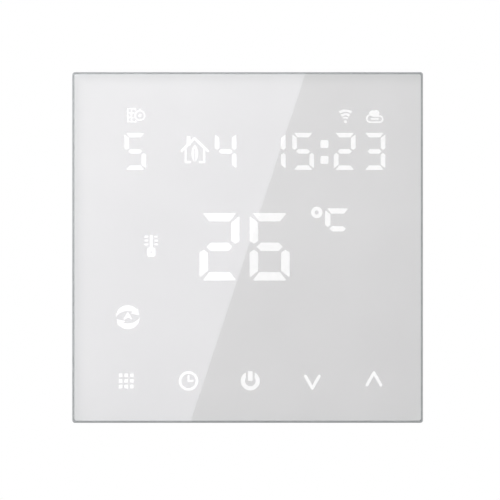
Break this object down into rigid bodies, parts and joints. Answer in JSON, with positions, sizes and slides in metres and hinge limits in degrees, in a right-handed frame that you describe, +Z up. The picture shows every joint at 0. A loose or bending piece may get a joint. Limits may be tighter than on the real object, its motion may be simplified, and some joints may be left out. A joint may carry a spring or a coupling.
{
  "type": "wall thermostat",
  "caption": "Square glass-fronted touch wall thermostat with a lit segment display, icon row, touch keys, steel mounting plate and a rear case with screw terminals.",
  "frame": {"origin": "middle of the line between the two wall screws, on the back face of the steel mounting plate, where it lies on the wall", "axes": "+X to the right of someone facing the glass, +Y into the wall, +Z up; the glass faces -Y"},
  "size_m": [0.086, 0.0403, 0.086],
  "materials": {
    "front_glass": "polished, clear, ground edges",
    "grey_ink": "screen-printed pale grey back coat",
    "lit_ink": "milky diffusing ink, lit white from behind",
    "foam_tape": "thin black foam adhesive",
    "film": "milky film",
    "bezel_plastic": "fine satin silver-grey moulding",
    "white_reflector": "white moulding",
    "led": "clear resin over phosphor",
    "spring_steel": "bright plated wire",
    "circuit_board": "green solder mask over glass-fibre board",
    "black_plastic": "black nylon moulding",
    "gold_pin": "gold-plated square pin",
    "tin_can": "tin-plated sheet",
    "chip_epoxy": "moulded epoxy",
    "sensor_epoxy": "dipped epoxy bead",
    "cover_plastic": "off-white fine-textured moulding",
    "screw_steel": "bright zinc",
    "plate_steel": "galvanised sheet",
    "case_plastic": "off-white fire-resistant moulding",
    "relay_shell": "dark blue moulding",
    "copper_wire": "enamelled copper winding",
    "soft_iron": "plated soft iron",
    "contact_metal": "copper alloy with silver buttons",
    "white_bobbin": "natural nylon",
    "ferrite": "ground ferrite",
    "yellow_tape": "winding under yellow film tape",
    "capacitor_sleeve": "shrink sleeve over aluminium can",
    "film_box": "yellow box",
    "blue_dip": "blue dipped epoxy",
    "fuse_box": "black box",
    "terminal_green": "green polyamide",
    "terminal_metal": "tin-plated brass and steel",
    "terminal_screw_steel": "zinc-plated slotted screw"
  },
  "bodies": {
    "base": {"power_board": "circuit_board", "board_socket": "black_plastic", "relay_base": "black_plastic", "transformer_bobbin": "black_plastic", "case_lid": "cover_plastic", "plate_screws": "screw_steel", "case_screws": "screw_steel", "mounting_plate": "plate_steel", "rear_case": "case_plastic", "relay_case": "relay_shell", "relay_winding": "copper_wire", "relay_yoke": "soft_iron", "relay_fixed_contact": "contact_metal", "relay_bobbin": "white_bobbin", "transformer_core": "ferrite", "transformer_winding": "yellow_tape", "input_capacitor": "capacitor_sleeve", "output_capacitor": "capacitor_sleeve", "film_capacitor": "film_box", "varistor": "blue_dip", "fuse": "fuse_box", "terminal_housing": "terminal_green", "terminal_bars": "terminal_metal"},
    "front_unit": {"glass_panel": "front_glass", "print_mask": "grey_ink", "temperature_windows": "lit_ink", "clock_windows": "lit_ink", "programme_windows": "lit_ink", "status_windows": "lit_ink", "key_windows": "lit_ink", "glass_tape": "foam_tape", "diffuser_film": "film", "front_bezel": "bezel_plastic", "light_guide": "white_reflector", "segment_lights": "led", "touch_springs": "spring_steel", "display_board": "circuit_board", "board_header": "black_plastic", "header_pins": "gold_pin", "wifi_module": "circuit_board", "wifi_shield": "tin_can", "microcontroller": "chip_epoxy", "touch_chip": "chip_epoxy", "room_sensor": "sensor_epoxy", "inner_cover": "cover_plastic", "cover_screws": "screw_steel"},
    "relay_armature_body": {"relay_armature": "soft_iron", "relay_moving_contact": "contact_metal"},
    "screw_1": {"terminal_screw_1": "terminal_screw_steel"},
    "clamp_1": {"terminal_clamp_1": "terminal_metal"},
    "screw_2": {"terminal_screw_2": "terminal_screw_steel"},
    "clamp_2": {"terminal_clamp_2": "terminal_metal"},
    "screw_3": {"terminal_screw_3": "terminal_screw_steel"},
    "clamp_3": {"terminal_clamp_3": "terminal_metal"},
    "screw_4": {"terminal_screw_4": "terminal_screw_steel"},
    "clamp_4": {"terminal_clamp_4": "terminal_metal"},
    "screw_5": {"terminal_screw_5": "terminal_screw_steel"},
    "clamp_5": {"terminal_clamp_5": "terminal_metal"},
    "screw_6": {"terminal_screw_6": "terminal_screw_steel"},
    "clamp_6": {"terminal_clamp_6": "terminal_metal"}
  },
  "joints": [
    {"name": "front_unit_pull", "type": "slide", "parent": "base", "child": "front_unit", "axis": [0, -1, 0], "range_m": [0, 0.03]},
    {"name": "terminal_screw_1_turn", "type": "hinge", "parent": "base", "child": "screw_1", "pos_m": [-0.01875, 0.01865, -0.0182], "axis": [0, -1, 0], "range_deg": [0, 1728.5]},
    {"name": "terminal_clamp_1_rise", "type": "slide", "parent": "base", "child": "clamp_1", "axis": [0, 1, 0], "range_m": [0, 0.0024]},
    {"name": "terminal_screw_2_turn", "type": "hinge", "parent": "base", "child": "screw_2", "pos_m": [-0.01125, 0.01865, -0.0182], "axis": [0, -1, 0], "range_deg": [0, 1728.5]},
    {"name": "terminal_clamp_2_rise", "type": "slide", "parent": "base", "child": "clamp_2", "axis": [0, 1, 0], "range_m": [0, 0.0024]},
    {"name": "terminal_screw_3_turn", "type": "hinge", "parent": "base", "child": "screw_3", "pos_m": [-0.00375, 0.01865, -0.0182], "axis": [0, -1, 0], "range_deg": [0, 1728.5]},
    {"name": "terminal_clamp_3_rise", "type": "slide", "parent": "base", "child": "clamp_3", "axis": [0, 1, 0], "range_m": [0, 0.0024]},
    {"name": "terminal_screw_4_turn", "type": "hinge", "parent": "base", "child": "screw_4", "pos_m": [0.00375, 0.01865, -0.0182], "axis": [0, -1, 0], "range_deg": [0, 1728.5]},
    {"name": "terminal_clamp_4_rise", "type": "slide", "parent": "base", "child": "clamp_4", "axis": [0, 1, 0], "range_m": [0, 0.0024]},
    {"name": "terminal_screw_5_turn", "type": "hinge", "parent": "base", "child": "screw_5", "pos_m": [0.01125, 0.01865, -0.0182], "axis": [0, -1, 0], "range_deg": [0, 1728.5]},
    {"name": "terminal_clamp_5_rise", "type": "slide", "parent": "base", "child": "clamp_5", "axis": [0, 1, 0], "range_m": [0, 0.0024]},
    {"name": "terminal_screw_6_turn", "type": "hinge", "parent": "base", "child": "screw_6", "pos_m": [0.01875, 0.01865, -0.0182], "axis": [0, -1, 0], "range_deg": [0, 1728.5]},
    {"name": "terminal_clamp_6_rise", "type": "slide", "parent": "base", "child": "clamp_6", "axis": [0, 1, 0], "range_m": [0, 0.0024]},
    {"name": "relay_armature_close", "type": "hinge", "parent": "base", "child": "relay_armature_body", "pos_m": [0.0163, 0.01945, -0.0025], "axis": [0, 0, 1], "range_deg": [0, 3.9], "stiffness_Nm_per_rad": 0.02, "springref_deg": -1.72}
  ],
  "couplings": [
    {"joint": "terminal_screw_1_turn", "follows": "terminal_clamp_1_rise", "rad_per_m": 12566},
    {"joint": "terminal_screw_2_turn", "follows": "terminal_clamp_2_rise", "rad_per_m": 12566},
    {"joint": "terminal_screw_3_turn", "follows": "terminal_clamp_3_rise", "rad_per_m": 12566},
    {"joint": "terminal_screw_4_turn", "follows": "terminal_clamp_4_rise", "rad_per_m": 12566},
    {"joint": "terminal_screw_5_turn", "follows": "terminal_clamp_5_rise", "rad_per_m": 12566},
    {"joint": "terminal_screw_6_turn", "follows": "terminal_clamp_6_rise", "rad_per_m": 12566}
  ]
}
